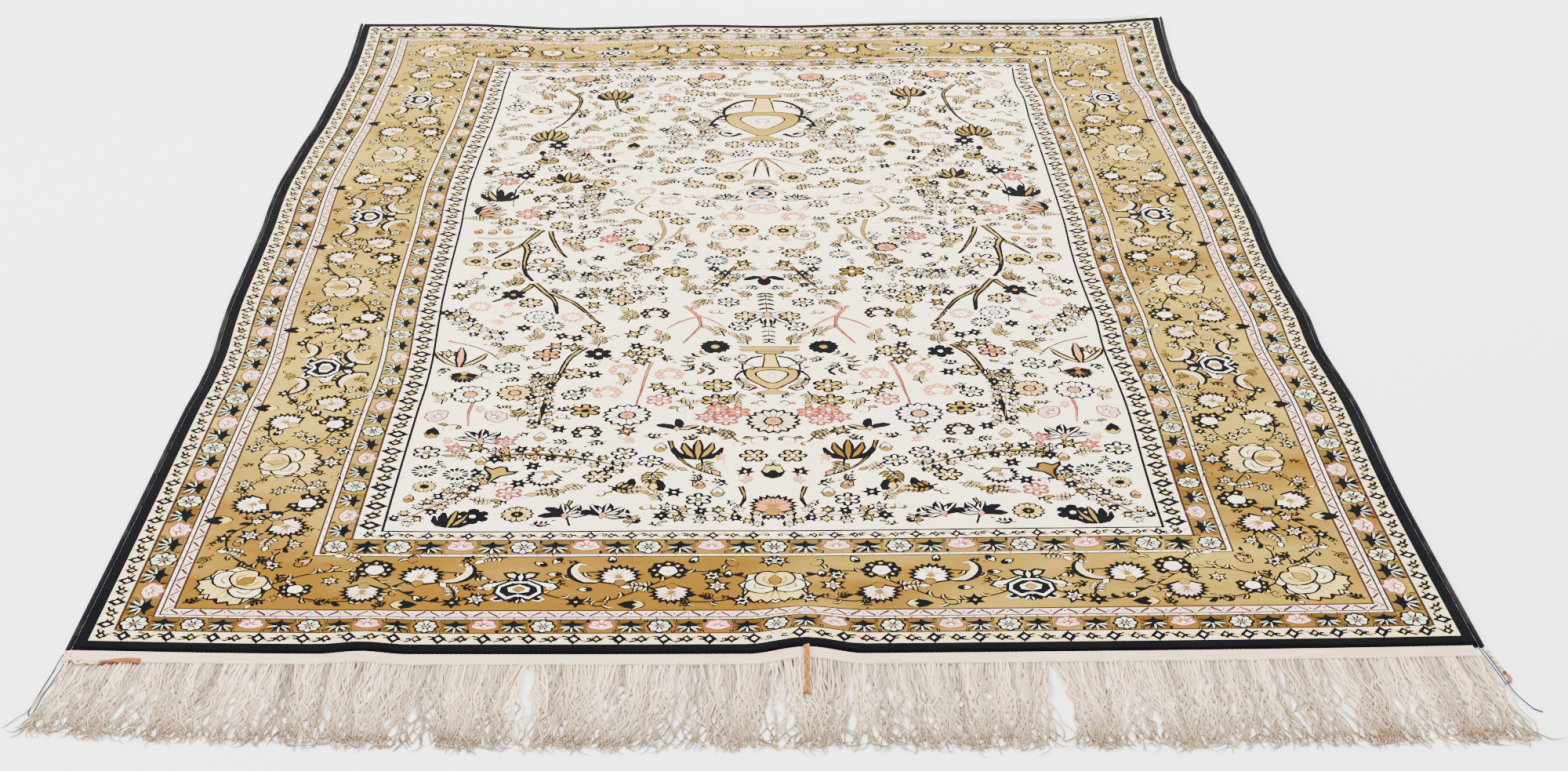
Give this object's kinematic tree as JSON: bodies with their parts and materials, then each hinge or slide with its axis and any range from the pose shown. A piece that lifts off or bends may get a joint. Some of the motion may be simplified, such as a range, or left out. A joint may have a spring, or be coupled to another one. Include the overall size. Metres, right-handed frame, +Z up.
{
  "type": "persian rug",
  "caption": "Hand-knotted wool rug of traditional floral design with overcast side selvedges, a kilim band and an open cotton fringe at one end, lying flat with a slight crease.",
  "frame": {"origin": "on the floor, under the middle of the pile's rectangle, on the flat underside", "axes": "+Z up out of the pile; +Y along the rug from the end with the open fringe to the other end; +X across the rug"},
  "size_m": [1.2533, 2.0144, 0.0156],
  "materials": {
    "pile": "low sheared wool pile",
    "selvedge": "overcast wool yarn",
    "fringe": "loose cotton warp ends",
    "kilim": "flat cotton weave",
    "navy_thread": "loose wool thread",
    "cream_cord": "braided cotton and wool",
    "mustard_cord": "braided wool",
    "orange_wool": "loose wool"
  },
  "bodies": {
    "root": {"pile": "pile", "selvedge_left": "selvedge", "selvedge_right": "selvedge", "fringe_near": "fringe", "kilim_far": "kilim", "thread_left": "navy_thread", "thread_right_long": "navy_thread", "thread_right_short": "navy_thread", "braid_left": "cream_cord", "tie_right": "cream_cord", "braid_middle": "mustard_cord", "tassel_left": "orange_wool", "tassel_right": "orange_wool"}
  },
  "joints": []
}
